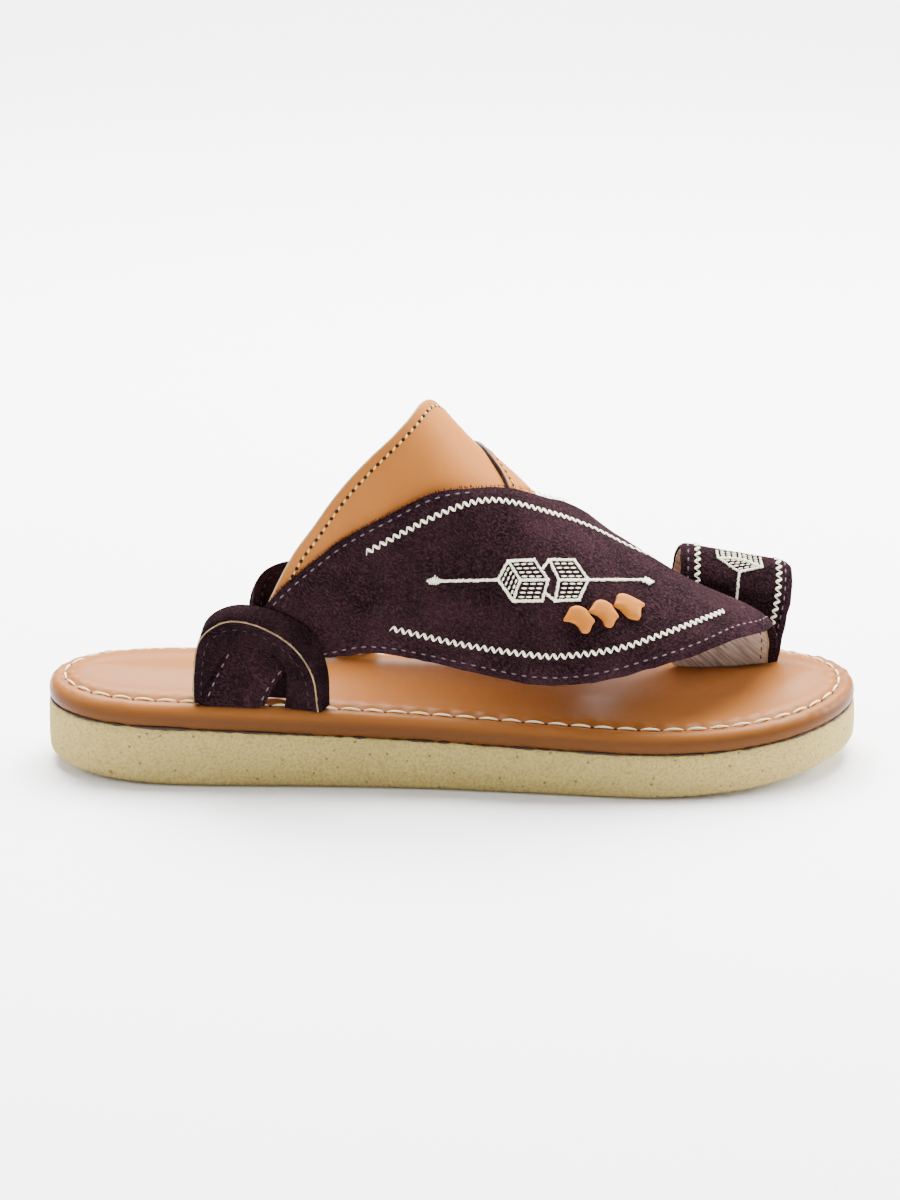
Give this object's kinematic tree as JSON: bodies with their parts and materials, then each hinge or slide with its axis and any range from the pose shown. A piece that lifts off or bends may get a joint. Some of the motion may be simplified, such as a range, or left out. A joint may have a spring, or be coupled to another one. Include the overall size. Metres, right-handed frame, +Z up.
{
  "type": "arabic sandal",
  "caption": "Right-foot slip-on sandal: thick foam sole, padded leather footbed, crossed tan instep straps, suede wings held by side bands, and a suede loop for the big toe.",
  "frame": {"origin": "middle of the shoe's box, on the floor that the sole stands on", "axes": "+X to the toe, +Y to the inner side of the foot, +Z up"},
  "size_m": [0.281, 0.094, 0.1271],
  "materials": {
    "foam_rubber": "matt porous foam with fine pinholes",
    "footbed_leather": "smooth tan leather, satin",
    "strap_leather": "smooth tan leather, satin",
    "suede": "napped plum suede, matt",
    "applique_leather": "padded light tan leather, satin"
  },
  "bodies": {
    "root": {"outsole": "foam_rubber", "insole": "footbed_leather", "instep_straps": "strap_leather", "wing_outer": "suede", "wing_inner": "suede", "ear_outer": "suede", "ear_inner": "suede", "toe_loop": "suede", "applique_1": "applique_leather", "applique_2": "applique_leather", "applique_3": "applique_leather"}
  },
  "joints": []
}
